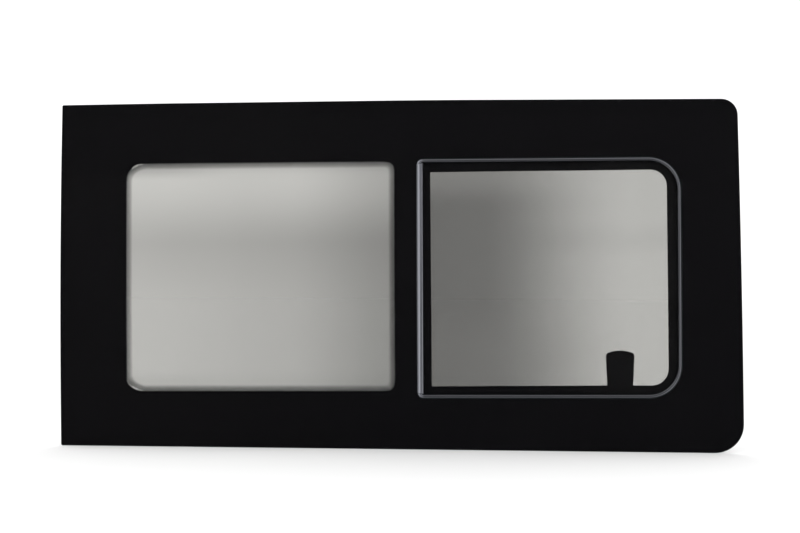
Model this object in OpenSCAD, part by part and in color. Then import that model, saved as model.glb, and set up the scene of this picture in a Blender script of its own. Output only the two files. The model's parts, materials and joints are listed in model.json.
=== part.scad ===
// Side window of a large van: one bent pane of black-bordered glass with a fixed clear field on
// the left and, on the right, a cut-out with a sliding pane and a fly screen behind it.
// X runs to the right and Z up as seen from outside, and outside faces -Y. The origin lies on the
// ground bottom edge of the fixed glass, in the middle of its length and of its thickness.
// Every piece is a layer between two depths below the outer face, so all of them share one bend.

/* [Fixed glass] */
// Thickness of the toughened glass
glass_t = 4; // [3:0.5:6]
// Black border right of the cut-out, at half height
right_border = 115.2; // [100:0.1:150]
// Black border above the cut-out, up to the mean height of the upper corners
top_border = 111.6; // [95:0.1:150]
// Radius of the bend from top to bottom
bend_r = 5500; // [4500:50:6500]
// Rise of the top edge in its middle
top_crown = 3.2; // [1:0.2:8]
// Fall of the bottom edge towards the right, in degrees
bottom_slope = 0.55; // [0:0.05:1.5]
// How much lower the upper right corner lies than the upper left one
top_fall = 1.8; // [0:0.1:6]
// How much further out the foot of the right edge lies than its head
right_lean = 8.8; // [0:0.2:16]
// How much further out the foot of the left edge lies than its head
left_lean = 2.6; // [0:0.2:10]
// Corner radius at the left, where the next panel follows
left_corner_r = 3; // [1:0.5:12]
// Radius of the upper right corner
top_right_r = 32; // [10:1:50]
// Radius of the lower right corner
bottom_right_r = 55; // [20:1:70]
// Thickness of the black ceramic print
print_t = 0.15; // [0.1:0.05:0.3]

/* [Clear field] */
// Black border left of the clear field
clear_border = 129.8; // [110:0.1:150]
// Width of the clear field
clear_w = 532; // [480:1:560]
// Height of the clear field
clear_h = 449.6; // [400:0.1:455]
// How far its lower edge lies above that of the cut-out
clear_rise = 13.6; // [10:0.1:18]
// Corner radius at its left
clear_left_r = 34; // [10:1:60]
// Corner radius at its right
clear_right_r = 18; // [6:1:40]

/* [Cut-out] */
// Black strip between the clear field and the cut-out
mullion_w = 44.8; // [42:0.1:60]
// Width of the cut-out
cutout_w = 511.8; // [460:0.1:530]
// Height of the cut-out
cutout_h = 467.8; // [440:0.1:480]
// Height of its lower edge above the middle of the bottom edge
cutout_bottom = 101.4; // [95:0.1:110]
// Corner radius at its left
cutout_left_r = 12; // [8:1:20]
// Corner radius at its right
cutout_right_r = 64; // [40:1:80]

/* [Edge trim] */
// Width of the bead along the top, right and bottom of the cut-out
trim_w = 7; // [5:0.5:10]
// Width of the ribbed bead along the left of the cut-out
stile_w = 13; // [10:0.5:18]
// Depth of the groove between the ribs of the left bead
stile_groove_depth = 1.4; // [0.5:0.1:2]
// Width of that groove
stile_groove_w = 1.6; // [1:0.1:3]
// Width of the slim rib right of the groove
stile_rib_w = 2.4; // [1.5:0.1:3.5]
// How far the trim reaches behind the glass
trim_leg = 6; // [3:0.5:8]

/* [Frame] */
// Wall thickness of the aluminium frame
wall = 1.5; // [1:0.1:2]
// Bead of adhesive between the printed glass and the frame
bond_t = 2; // [1.5:0.1:3]
// Width of the adhesive bead
bond_w = 10; // [6:0.5:12]
// How far the frame's lip stands back from the edge of the cut-out
lip_set_back = 1.5; // [1:0.1:4]
// How far the left post stands back from the clear field
post_set_back = 5; // [3:0.5:12]
// Width of the two flanges, measured from the lip
flange_w = 26; // [24:0.5:34]
// Depth of the running channel, measured from the lip
channel_depth = 17; // [16:0.5:22]
// How far the channel's inner wall stands back from the lip
inner_wall_set_back = 4; // [2:0.5:6]
// How far the front lip of the screen groove stands back from the frame's lip
screen_lip_set_back = 9; // [6:0.5:11]
// Bend radius of the left corners at the lip
left_bend_r = 40; // [30:1:50]
// Width of a drain slot in the bottom rail
drain_w = 20; // [10:1:30]
// Height of a drain slot
drain_h = 3; // [2:0.5:4]

/* [Sliding pane] */
// Thickness of the sliding pane
pane_t = 4; // [3:0.5:5]
// Gap between the printed fixed glass and the sliding pane
pane_gap = 7; // [6.8:0.1:10]
// How far the pane reaches into its channel past the lip
pane_overlap = 12; // [10:0.5:13]
// Running play between the pane and a seal
run_play = 0.3; // [0.2:0.05:0.6]
// Printed margin left and right of the see-through field, from the edge of the cut-out
view_margin_side = 25.7; // [22:0.1:40]
// Printed margin above the see-through field
view_margin_top = 24.8; // [20:0.1:40]
// Printed margin below the see-through field
view_margin_bottom = 22.7; // [20:0.1:40]
// Corner radius of the see-through field at its right
view_right_r = 32; // [10:1:50]
// Width of the upright profile on the pane's left edge
profile_w = 14; // [10:0.5:15]
// Wall of that profile
profile_wall = 1.5; // [1:0.1:1.7]
// Width of the upright wiper seal behind the mullion
wiper_w = 12; // [8:0.5:13]
// Length of a glide shoe
glide_len = 40; // [20:1:60]
// Clearance between moving and standing pieces
moving_gap = 5.2; // [5:0.1:8]

/* [Run seal] */
// Thickness of the seal's inner lip
seal_lip_t = 2.6; // [1.5:0.1:4]
// Thickness of the seal's floor
seal_floor_t = 1.5; // [1:0.1:2]
// How far the outer lip stands back from the frame's lip
seal_set_back = 1; // [0.5:0.1:3]
// Length of a rubber stop in the channel
stop_len = 20; // [8:1:40]

/* [Latch] */
// Distance of the latch's middle from the right edge of the see-through field
latch_inset = 92.5; // [60:0.5:200]
// Width of the printed patch that hides the latch, at its shoulders
patch_w = 54; // [44:1:70]
// How much narrower the patch is at its foot
patch_taper = 6; // [0:0.5:12]
// Height of the patch above the lower edge of the see-through field
patch_h = 68; // [50:1:90]
// Radius of its shoulders
patch_shoulder_r = 12; // [4:1:20]
// Radius of its arched top
patch_arch_r = 60; // [40:1:200]
// Margin of the printed patch round the latch's base
patch_margin = 4; // [2:0.5:8]
// Thickness of the latch's base
latch_base_t = 3; // [2:0.5:4]
// Height of the latch's housing over its base
housing_t = 5; // [4.5:0.5:6]
// Width of the housing
housing_w = 34; // [26:1:40]
// Length of the housing
housing_h = 46; // [40:1:52]
// Height of the thumb slide over the housing
thumb_t = 2.5; // [1.5:0.5:3]
// Width of the thumb slide
thumb_w = 22; // [14:1:24]
// Length of the thumb slide
thumb_h = 20; // [14:1:22]
// Number of grip ribs on the thumb slide
thumb_ribs = 4; // [2:1:6]
// Width of the latch's bolt
bolt_w = 9; // [6:0.5:12]
// Thickness of the bolt
bolt_t = 1.8; // [1:0.1:2.2]
// Width of the keeper on the bottom rail
keeper_w = 32; // [26:1:44]

/* [Fly screen] */
// Thickness of the screen's frame
screen_t = 6; // [5:0.5:8]
// Width of a bar of the screen's frame
screen_bar_w = 20; // [17:0.5:21]
// Width of the rebate that takes the mesh
screen_rebate_w = 6; // [4:0.5:8]
// Depth of that rebate
screen_rebate_t = 1.5; // [1.4:0.1:3]
// How far the screen reaches into its groove
screen_overlap = 14; // [12:0.5:15]
// Play of the screen in its groove
screen_play = 0.3; // [0.2:0.05:0.5]
// Thickness of the mesh sheet
mesh_t = 0.4; // [0.3:0.1:0.6]
// Width of the rubber cord that holds the mesh
spline_w = 2.6; // [2:0.1:3.4]
// Length of a block that keeps the screen in its groove
screen_stop_len = 10; // [6:1:14]

/* [Hidden] */

// Fineness of the bend and of the round corners
bend_fn = 256;
round_fn = 96;
// Straight stretches in a round corner of a free outline
fillet_steps = 16;
// Straight stretches that make up the crowned top edge
crown_steps = 12;

// Width at half height, and mean height of the upper corners above the middle of the bottom edge
panel_w = clear_border + clear_w + mullion_w + cutout_w + right_border;
panel_h = cutout_bottom + cutout_h + top_border;

// Clear field and cut-out: [left, right, bottom, top]
clear_left = clear_border - panel_w / 2;
clear_bottom = cutout_bottom + clear_rise;
clear_box = [clear_left, clear_left + clear_w, clear_bottom, clear_bottom + clear_h];
cutout_left = clear_box[1] + mullion_w;
cutout_box = [cutout_left, cutout_left + cutout_w, cutout_bottom, cutout_bottom + cutout_h];

// The frame's lip, from which the offsets of the frame, seals, pane and screen are measured
lip_box = [
  clear_left - post_set_back, cutout_box[1] + lip_set_back,
  cutout_box[2] - lip_set_back, cutout_box[3] + lip_set_back
];
right_bend_r = cutout_right_r + lip_set_back;
left_tangent = lip_box[0] + left_bend_r;
right_tangent = lip_box[1] - right_bend_r;

// Depths below the outer face, from outside to inside
print_back = glass_t + print_t;
flange_front = print_back + bond_t;
flange_back = flange_front + wall;
pane_front = print_back + pane_gap;
pane_back = pane_front + pane_t;
pane_print_back = pane_back + print_t;
seal_inner_front = pane_print_back + run_play;
inner_wall_front = seal_inner_front + seal_lip_t;
inner_wall_back = inner_wall_front + wall;
base_back = pane_print_back + latch_base_t;
housing_back = base_back + housing_t;
thumb_back = housing_back + thumb_t;
screen_front = thumb_back + moving_gap;
screen_back = screen_front + screen_t;
screen_lip_back = screen_front - screen_play;
cover_front = screen_back + screen_play;
cover_back = cover_front + wall;

// The bend: its crown lies at half height of the cut-out, and the outer face there is foremost
crown_z = (cutout_box[2] + cutout_box[3]) / 2;
foot_depth = bend_r - glass_t / 2;
crown_y = sqrt(foot_depth * foot_depth - crown_z * crown_z) - bend_r;
bend_half_angle = asin(0.6 * panel_h / bend_r);
reach_x = panel_w;
reach_y = 200;

// Outline of the fixed glass
low_left_x = -panel_w / 2 - left_lean / 2;
low_right_x = panel_w / 2 + right_lean / 2;
corner_low_left = [low_left_x, -tan(bottom_slope) * low_left_x];
corner_low_right = [low_right_x, -tan(bottom_slope) * low_right_x];
corner_top_left = [-panel_w / 2 + left_lean / 2, panel_h + top_fall / 2];
corner_top_right = [panel_w / 2 - right_lean / 2, panel_h - top_fall / 2];

// The sliding pane: [left, right, bottom, top]
wiper_right = cutout_left - lip_set_back;
profile_right = wiper_right - wiper_w - moving_gap;
profile_left = profile_right - profile_w;
pane_left = profile_left + profile_wall;
pane_box = [
  pane_left, lip_box[1] + pane_overlap, lip_box[2] - pane_overlap, lip_box[3] + pane_overlap
];
pane_right_r = right_bend_r + pane_overlap;
pane_left_r = 3;
view_box = [
  cutout_box[0] + view_margin_side, cutout_box[1] - view_margin_side,
  cutout_box[2] + view_margin_bottom, cutout_box[3] - view_margin_top
];

// The stops stand at the left end of the straight channels, and the open pane comes to rest there
stop_right = left_tangent + stop_len;
slide_travel = pane_left - stop_right - run_play;

// The channel's floor seal, and the glide shoes that run on it
seal_floor_top = channel_depth - seal_floor_t;
glide_end = seal_floor_top - run_play;

// The latch
latch_x = view_box[1] - latch_inset;
patch_top = view_box[2] + patch_h;
base_top = patch_top - patch_margin;
base_bottom = lip_box[2] + 2 * moving_gap;
housing_bottom = base_bottom + 2;
bolt_front = base_back + 2;
bolt_play = 0.3;
thumb_bottom = housing_bottom + (housing_h - thumb_h) / 2;
keeper_top = lip_box[2] - inner_wall_set_back;
bolt_bottom = keeper_top + moving_gap;

// The screen's left bar ends behind the mullion
screen_left = wiper_right - screen_bar_w;

function unit(v) = v / norm(v);

// The points of a round corner at p, on the way from a past p to b, counter-clockwise
function fillet(p, a, b, r) =
  let (
    u = unit(a - p),
    v = unit(b - p),
    half = acos(u * v) / 2,
    centre = p + unit(u + v) * r / sin(half),
    spoke = p + u * r / tan(half) - centre,
    start = atan2(spoke[1], spoke[0]),
    step = (180 - 2 * half) / fillet_steps
  )
  [for (i = [0:fillet_steps]) centre + r * [cos(start + i * step), sin(start + i * step)]];

// A counter-clockwise polygon's points with round corners; a radius of 0 leaves a corner sharp
function rounded(points, radii) =
  let (count = len(points))
  [
    for (i = [0:count - 1])
      each radii[i] > 0
        ? fillet(points[i], points[(i + count - 1) % count], points[(i + 1) % count], radii[i])
        : [points[i]]
  ];

// A box [left, right, bottom, top] grown all round, with its own corner radius at each side
module round_box(box, left_r, right_r, grow = 0) {
  left = box[0] - grow;
  right = box[1] + grow;
  bottom = box[2] - grow;
  top = box[3] + grow;
  difference() {
    plain_box(left, right, bottom, top);
    for (flip = [0, 1]) translate([0, bottom + top] * flip) mirror([0, flip]) {
      if (left_r > 0) corner_waste(left, bottom, left_r + grow);
      if (right_r > 0) translate([right, 0]) mirror([1, 0]) corner_waste(0, bottom, right_r + grow);
    }
  }
}

// What a round lower left corner leaves out of a box's square corner
module corner_waste(left, bottom, r) {
  over = 1;
  difference() {
    plain_box(left - over, left + r, bottom - over, bottom + r);
    translate([left + r, bottom + r]) circle(r, $fn = round_fn);
  }
}

module plain_box(left, right, bottom, top) {
  translate([left, bottom]) square([right - left, top - bottom]);
}

// A layer of the bent window between two depths below its outer face, cut to a 2D outline in X and Z
module bent(front, back) {
  translate([0, crown_y, 0]) intersection() {
    translate([-reach_x, bend_r, crown_z]) rotate([0, 90, 0])
      rotate(270 - bend_half_angle)
        rotate_extrude(angle = 2 * bend_half_angle, $fn = bend_fn)
          translate([bend_r - back, 0]) square([back - front, 2 * reach_x]);
    translate([0, reach_y, 0]) rotate([90, 0, 0]) linear_extrude(2 * reach_y) children();
  }
}

// One stretch of the rim round the lip, between two offsets outward from the lip. The right end is
// the right stretch with both of its bends in one
module rim(part, from, to) {
  low = lip_box[2];
  high = lip_box[3];
  if (part == "top") plain_box(left_tangent, right_tangent, high + from, high + to);
  if (part == "bottom") plain_box(left_tangent, right_tangent, low - to, low - from);
  if (part == "left")
    plain_box(lip_box[0] - to, lip_box[0] - from, low + left_bend_r, high - left_bend_r);
  if (part == "right")
    plain_box(lip_box[1] + from, lip_box[1] + to, low + right_bend_r, high - right_bend_r);
  if (part == "top_left") rim_bend(left_tangent, high - left_bend_r, left_bend_r, -1, 1, from, to);
  if (part == "bottom_left") rim_bend(left_tangent, low + left_bend_r, left_bend_r, -1, -1, from, to);
  if (part == "top_right")
    rim_bend(right_tangent, high - right_bend_r, right_bend_r, 1, 1, from, to);
  if (part == "bottom_right")
    rim_bend(right_tangent, low + right_bend_r, right_bend_r, 1, -1, from, to);
  if (part == "right_end") intersection() {
    difference() {
      round_box(lip_box, left_bend_r, right_bend_r, to);
      round_box(lip_box, left_bend_r, right_bend_r, from);
    }
    plain_box(right_tangent, lip_box[1] + to + 1, low - to - 1, high + to + 1);
  }
}

// A quarter ring round a bend's centre, towards the side given by two signs
module rim_bend(x, z, r, side_x, side_z, from, to) {
  translate([x, z]) mirror([side_x < 0 ? 1 : 0, 0]) mirror([0, side_z < 0 ? 1 : 0])
    intersection() {
      difference() {
        circle(r + to, $fn = round_fn);
        circle(r + from, $fn = round_fn);
      }
      square(r + to + 1);
    }
}

// The frame's cross-section along one stretch: two flanges, the web and the channel walls
module frame_stretch(part) {
  bent(flange_front, flange_back) rim(part, 0, flange_w);
  bent(flange_front, cover_back) rim(part, channel_depth, channel_depth + wall);
  bent(inner_wall_front, inner_wall_back) rim(part, inner_wall_set_back, channel_depth + wall);
  bent(screen_lip_back - wall, screen_lip_back)
    rim(part, screen_lip_set_back, channel_depth + wall);
  bent(cover_front, cover_back) rim(part, 0, flange_w);
}

// The U-shaped run seal along one stretch
module seal_stretch(part) {
  bent(flange_back, pane_front - run_play) rim(part, seal_set_back, channel_depth);
  bent(seal_inner_front, inner_wall_front) rim(part, inner_wall_set_back, channel_depth);
  bent(flange_back, inner_wall_front) rim(part, seal_floor_top, channel_depth);
}

// A stretch of the screen's frame, with the rebate for the mesh along its inner edge
module screen_stretch(part) {
  inner = screen_overlap - screen_bar_w;
  bent(screen_front, screen_back - screen_rebate_t) rim(part, inner, screen_overlap);
  bent(screen_front, screen_back) rim(part, inner + screen_rebate_w, screen_overlap);
}

// Pieces of the fixed glass

module panel_outline() {
  top_edge = [
    for (i = [0:crown_steps])
      let (t = i / crown_steps)
        corner_top_right * (1 - t) + corner_top_left * t + [0, 4 * top_crown * t * (1 - t)]
  ];
  points = concat([corner_low_left, corner_low_right], top_edge);
  plain = [for (i = [1:crown_steps - 1]) 0];
  polygon(rounded(points, concat([left_corner_r, bottom_right_r, top_right_r], plain, [left_corner_r])));
}

module cutout_outline(grow = 0) {
  round_box(cutout_box, cutout_left_r, cutout_right_r, grow);
}

module outer_glass() {
  color([0.62, 0.66, 0.64, 0.5]) bent(0, glass_t) difference() {
    panel_outline();
    cutout_outline();
  }
}

module outer_glass_print() {
  color([0.06, 0.06, 0.07]) bent(glass_t, print_back) difference() {
    panel_outline();
    cutout_outline();
    round_box(clear_box, clear_left_r, clear_right_r);
  }
}

// The part of the trim that is wider than the left stile's ribbed bead
module right_of_stile(grow = 0) {
  plain_box(cutout_left + stile_w, cutout_box[1] + trim_leg + 1, cutout_box[2] - trim_leg - 1,
    cutout_box[3] + trim_leg + 1);
}

module cutout_trim() {
  color([0.36, 0.37, 0.42]) {
    bent(0, flange_front) intersection() {
      difference() {
        cutout_outline();
        cutout_outline(-trim_w);
      }
      right_of_stile();
    }
    bent(print_back, flange_front) intersection() {
      difference() {
        cutout_outline(trim_leg);
        cutout_outline(-trim_w);
      }
      right_of_stile();
    }
  }
}

module stile_area() {
  intersection() {
    cutout_outline();
    plain_box(cutout_left, cutout_left + stile_w, cutout_box[2], cutout_box[3]);
  }
}

module mullion_trim() {
  groove_x = cutout_left + stile_w - stile_rib_w - stile_groove_w;
  color([0.5, 0.5, 0.54]) difference() {
    bent(0, flange_front) stile_area();
    bent(-1, stile_groove_depth)
      plain_box(groove_x, groove_x + stile_groove_w, cutout_box[2] + trim_w, cutout_box[3] - trim_w);
  }
}

module mullion_seal() {
  color([0.1, 0.1, 0.11])
    bent(print_back, pane_front - run_play)
      plain_box(wiper_right - wiper_w, wiper_right, lip_box[2], lip_box[3]);
}

module frame_bond() {
  from = channel_depth + wall - bond_w;
  color([0.13, 0.13, 0.14]) bent(print_back, flange_front) difference() {
    round_box(lip_box, left_bend_r, right_bend_r, channel_depth + wall);
    round_box(lip_box, left_bend_r, right_bend_r, from);
  }
}

// Pieces of the frame

frame_color = [0.17, 0.17, 0.18];

module top_rail() {
  color(frame_color) frame_stretch("top");
}

module bottom_rail() {
  color(frame_color) difference() {
    frame_stretch("bottom");
    for (x = [left_tangent / 2, right_tangent / 2])
      bent(inner_wall_back, screen_lip_back + 1)
        plain_box(x, x + drain_w, lip_box[2] - channel_depth - 2 * wall,
          lip_box[2] - channel_depth + drain_h);
  }
}

module left_post() {
  color(frame_color) frame_stretch("left");
}

module right_post() {
  color(frame_color) frame_stretch("right");
}

module top_left_bend() {
  color(frame_color) frame_stretch("top_left");
}

module bottom_left_bend() {
  color(frame_color) frame_stretch("bottom_left");
}

module top_right_bend() {
  color(frame_color) frame_stretch("top_right");
}

module bottom_right_bend() {
  color(frame_color) frame_stretch("bottom_right");
}

seal_color = [0.09, 0.09, 0.1];

module top_run_seal() {
  color(seal_color) seal_stretch("top");
}

module bottom_run_seal() {
  color(seal_color) seal_stretch("bottom");
}

module right_run_seal() {
  color(seal_color) seal_stretch("right_end");
}

// A rubber stop in the channel, where the open pane comes to rest
module open_stop(bottom, top) {
  color([0.12, 0.12, 0.13])
    bent(pane_front, pane_back) plain_box(stop_right - stop_len, stop_right, bottom, top);
}

module open_stop_top() {
  open_stop(lip_box[3] + seal_set_back, lip_box[3] + seal_floor_top);
}

module open_stop_bottom() {
  open_stop(lip_box[2] - seal_floor_top, lip_box[2] - seal_set_back);
}

module latch_keeper() {
  slot_play = 1;
  foot_w = keeper_w / 5;
  left = latch_x - keeper_w / 2;
  color([0.55, 0.55, 0.57]) difference() {
    union() {
      bent(inner_wall_back, thumb_back) plain_box(left, left + keeper_w, keeper_top - wall, keeper_top);
      for (x = [left, left + keeper_w - foot_w])
        bent(inner_wall_back, inner_wall_back + wall)
          plain_box(x, x + foot_w, lip_box[2] - channel_depth + wall, keeper_top);
    }
    bent(bolt_front - slot_play, bolt_front + bolt_t + slot_play)
      plain_box(latch_x - bolt_w / 2 - slot_play, latch_x + bolt_w / 2 + slot_play,
        keeper_top - 2 * wall, keeper_top + 1);
  }
}

// Pieces of the fly screen

screen_color = [0.15, 0.15, 0.16];

module screen_left_bar() {
  inner = screen_overlap - screen_bar_w;
  low = lip_box[2] - screen_overlap;
  high = lip_box[3] + screen_overlap;
  color(screen_color) {
    bent(screen_front, screen_back - screen_rebate_t)
      plain_box(screen_left, screen_left + screen_bar_w, low, high);
    bent(screen_front, screen_back)
      plain_box(screen_left, screen_left + screen_bar_w - screen_rebate_w, low, high);
  }
}

// The stretch of a straight screen bar right of the left bar
module right_of_left_bar() {
  intersection() {
    children();
    translate([-reach_x, 0, 0]) translate([screen_left + screen_bar_w + reach_x, -reach_y, -reach_x])
      cube([reach_x, 2 * reach_y, 3 * reach_x]);
  }
}

module screen_top_bar() {
  color(screen_color) right_of_left_bar() screen_stretch("top");
}

module screen_bottom_bar() {
  color(screen_color) right_of_left_bar() screen_stretch("bottom");
}

module screen_right_bar() {
  color(screen_color) screen_stretch("right");
}

module screen_top_bend() {
  color(screen_color) screen_stretch("top_right");
}

module screen_bottom_bend() {
  color(screen_color) screen_stretch("bottom_right");
}

// The area inside the screen's rebates, grown or shrunk by an amount
module rebate_area(grow) {
  edge = screen_overlap - screen_bar_w + screen_rebate_w;
  box = [
    screen_left + screen_bar_w - screen_rebate_w, lip_box[1] + edge, lip_box[2] - edge,
    lip_box[3] + edge
  ];
  round_box(box, pane_left_r, right_bend_r + edge, grow);
}

module screen_mesh() {
  mesh_front = screen_back - screen_rebate_t;
  color([0.3, 0.3, 0.3, 0.6]) bent(mesh_front, mesh_front + mesh_t) rebate_area(-screen_play);
}

module screen_spline() {
  spline_front = screen_back - screen_rebate_t + mesh_t;
  color([0.1, 0.1, 0.1]) bent(spline_front, screen_back - 0.2) difference() {
    rebate_area(-screen_play);
    rebate_area(-screen_play - spline_w);
  }
}

// A block in the screen's groove, against the screen's left bar
module screen_stop(bottom, top) {
  right = screen_left - screen_play;
  color([0.12, 0.12, 0.13])
    bent(screen_front, screen_back) plain_box(right - screen_stop_len, right, bottom, top);
}

module screen_stop_top() {
  screen_stop(lip_box[3] + screen_lip_set_back, lip_box[3] + channel_depth - screen_play);
}

module screen_stop_bottom() {
  screen_stop(lip_box[2] - channel_depth + screen_play, lip_box[2] - screen_lip_set_back);
}

// Pieces of the sliding pane

module pane_outline() {
  round_box(pane_box, pane_left_r, pane_right_r);
}

// The arched patch that hides the latch, with its foot at a given height
module patch_outline(foot, margin = 0) {
  half_top = patch_w / 2 - margin;
  half_foot = (patch_w - patch_taper) / 2 - margin;
  top = patch_top - margin;
  translate([latch_x, 0]) intersection() {
    polygon(rounded([[-half_foot, foot], [half_foot, foot], [half_top, top], [-half_top, top]],
      [0, 0, patch_shoulder_r, patch_shoulder_r]));
    translate([0, top - patch_arch_r]) circle(patch_arch_r, $fn = round_fn);
  }
}

module sliding_glass() {
  color([0.5, 0.54, 0.52, 0.5]) bent(pane_front, pane_back) pane_outline();
}

module sliding_glass_print() {
  color([0.06, 0.06, 0.07]) bent(pane_back, pane_print_back) difference() {
    pane_outline();
    difference() {
      round_box(view_box, 0, view_right_r);
      patch_outline(view_box[2] - 1);
    }
  }
}

module pane_edge_profile() {
  low = lip_box[2] + moving_gap;
  high = lip_box[3] - moving_gap;
  color([0.12, 0.12, 0.13]) {
    bent(pane_front - profile_wall, pane_print_back + profile_wall)
      plain_box(profile_left, pane_left, low, high);
    bent(pane_front - profile_wall, pane_front) plain_box(profile_left, profile_right, low, high);
    bent(pane_print_back, pane_print_back + profile_wall)
      plain_box(profile_left, profile_right, low, high);
  }
}

// A low shoe on the pane's edge: it keeps the glass off the floor of the seal
module glide(x, edge, outward) {
  reach = glide_end - pane_overlap;
  bottom = outward < 0 ? edge - reach : edge;
  color([0.75, 0.75, 0.73]) bent(pane_front, pane_back) plain_box(x, x + glide_len, bottom, bottom + reach);
}

glide_left_x = pane_left + 2 * glide_len;
glide_right_x = right_tangent - 2 * glide_len;

module glide_left() {
  glide(glide_left_x, pane_box[2], -1);
}

module glide_right() {
  glide(glide_right_x, pane_box[2], -1);
}

module guide_left() {
  glide(glide_left_x, pane_box[3], 1);
}

module guide_right() {
  glide(glide_right_x, pane_box[3], 1);
}

module latch_base() {
  color([0.11, 0.11, 0.12]) bent(pane_print_back, base_back) patch_outline(base_bottom, patch_margin);
}

module latch_housing() {
  side = housing_w / 2;
  slot = bolt_w / 2 + bolt_play;
  stem = thumb_w / 6 + bolt_play;
  color([0.14, 0.14, 0.15]) difference() {
    bent(base_back, housing_back) translate([latch_x, 0])
      polygon(rounded([
        [-side, housing_bottom], [side, housing_bottom], [side, housing_bottom + housing_h],
        [-side, housing_bottom + housing_h]
      ], [3, 3, side / 2, side / 2]));
    bent(bolt_front - bolt_play, bolt_front + bolt_t + bolt_play)
      plain_box(latch_x - slot, latch_x + slot, housing_bottom - 1, thumb_bottom + thumb_h);
    bent(bolt_front, housing_back + 1)
      plain_box(latch_x - stem, latch_x + stem, thumb_bottom + 1, thumb_bottom + thumb_h - 1);
  }
}

module latch_thumb_slide() {
  rib = thumb_h / (2 * thumb_ribs - 1);
  stem = thumb_w / 6;
  color([0.2, 0.2, 0.21]) {
    bent(housing_back, housing_back + thumb_t / 2)
      plain_box(latch_x - thumb_w / 2, latch_x + thumb_w / 2, thumb_bottom, thumb_bottom + thumb_h);
    for (i = [0:thumb_ribs - 1])
      bent(housing_back, thumb_back)
        plain_box(latch_x - thumb_w / 2, latch_x + thumb_w / 2, thumb_bottom + 2 * i * rib,
          thumb_bottom + (2 * i + 1) * rib);
    bent(bolt_front + bolt_t, housing_back + thumb_t / 2)
      plain_box(latch_x - stem, latch_x + stem, thumb_bottom + 2, thumb_bottom + thumb_h / 2);
  }
}

module latch_bolt() {
  color([0.72, 0.72, 0.73]) bent(bolt_front, bolt_front + bolt_t)
    plain_box(latch_x - bolt_w / 2, latch_x + bolt_w / 2, bolt_bottom, thumb_bottom + thumb_h - 1);
}

outer_glass();
outer_glass_print();
cutout_trim();
mullion_trim();
mullion_seal();
frame_bond();
top_rail();
bottom_rail();
left_post();
right_post();
top_left_bend();
bottom_left_bend();
top_right_bend();
bottom_right_bend();
top_run_seal();
bottom_run_seal();
right_run_seal();
open_stop_top();
open_stop_bottom();
latch_keeper();
screen_left_bar();
screen_top_bar();
screen_bottom_bar();
screen_right_bar();
screen_top_bend();
screen_bottom_bend();
screen_mesh();
screen_spline();
screen_stop_top();
screen_stop_bottom();
sliding_glass();
sliding_glass_print();
pane_edge_profile();
glide_left();
glide_right();
guide_left();
guide_right();
latch_base();
latch_housing();
latch_thumb_slide();
latch_bolt();
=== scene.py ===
import json
import math

import bmesh
import bpy
from bpy.props import FloatProperty, FloatVectorProperty, IntProperty, PointerProperty
from mathutils import Matrix, Vector

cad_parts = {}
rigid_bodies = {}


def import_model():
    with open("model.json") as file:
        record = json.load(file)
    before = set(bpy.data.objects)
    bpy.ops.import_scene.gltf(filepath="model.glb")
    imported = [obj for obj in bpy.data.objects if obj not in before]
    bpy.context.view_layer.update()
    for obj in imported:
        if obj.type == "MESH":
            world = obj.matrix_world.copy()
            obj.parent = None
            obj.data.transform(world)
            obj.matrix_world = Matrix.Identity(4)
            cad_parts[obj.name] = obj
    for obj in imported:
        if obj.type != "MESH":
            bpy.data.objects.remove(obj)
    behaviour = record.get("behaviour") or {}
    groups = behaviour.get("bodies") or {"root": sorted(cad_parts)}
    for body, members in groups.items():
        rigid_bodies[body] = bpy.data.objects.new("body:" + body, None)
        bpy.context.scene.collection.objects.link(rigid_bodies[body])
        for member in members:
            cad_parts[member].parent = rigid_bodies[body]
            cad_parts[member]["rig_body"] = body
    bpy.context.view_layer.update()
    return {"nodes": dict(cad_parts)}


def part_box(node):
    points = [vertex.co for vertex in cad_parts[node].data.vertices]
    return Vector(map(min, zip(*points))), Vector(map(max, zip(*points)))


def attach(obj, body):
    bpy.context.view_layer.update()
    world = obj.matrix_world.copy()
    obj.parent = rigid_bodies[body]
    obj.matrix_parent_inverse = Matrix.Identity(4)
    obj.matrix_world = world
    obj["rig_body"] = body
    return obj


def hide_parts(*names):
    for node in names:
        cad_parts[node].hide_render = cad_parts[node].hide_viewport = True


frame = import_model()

bl_info = {
    "name": "Van Side Window",
    "version": (1, 0, 0),
    "blender": (4, 5, 0),
    "location": "3D View > Sidebar > Van Window",
    "description": "Dresses a bonded van side window with a sliding pane and a fly screen",
    "category": "Object",
}

NODES = frame["nodes"]
MM = 0.001

# Depths below the outer face
GLASS_BACK = 4.0 * MM
PRINT_BACK = 4.15 * MM
PANE_FRONT = 11.15 * MM
PANE_BACK = 15.15 * MM
PANE_PRINT_BACK = 15.3 * MM
MESH_FRONT = 35.5 * MM
THUMB_BACK = 25.8 * MM
COVER_BACK = 38.8 * MM

# Boxes on the outer face: left, right, bottom, top
TRIM_LEG = 6 * MM
CUTOUT = (
    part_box("mullion_trim")[0].x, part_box("cutout_trim")[1].x - TRIM_LEG,
    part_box("cutout_trim")[0].z + TRIM_LEG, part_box("cutout_trim")[1].z - TRIM_LEG,
)
CLEAR = (
    CUTOUT[0] - 576.8 * MM, CUTOUT[0] - 44.8 * MM, CUTOUT[2] + 13.6 * MM, CUTOUT[2] + 463.2 * MM,
)
# The same field and the same cut-out where their edges lie in the picture
FIELD = (CLEAR[0] - 1.6 * MM, CLEAR[1] + 0.4 * MM, CLEAR[2] - 0.6 * MM, CLEAR[3] - 1.5 * MM)
EDGE = (CUTOUT[0] - 0.4 * MM, CUTOUT[1] + 1.6 * MM, CUTOUT[2] - 1.9 * MM, CUTOUT[3] - 0.6 * MM)
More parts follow.
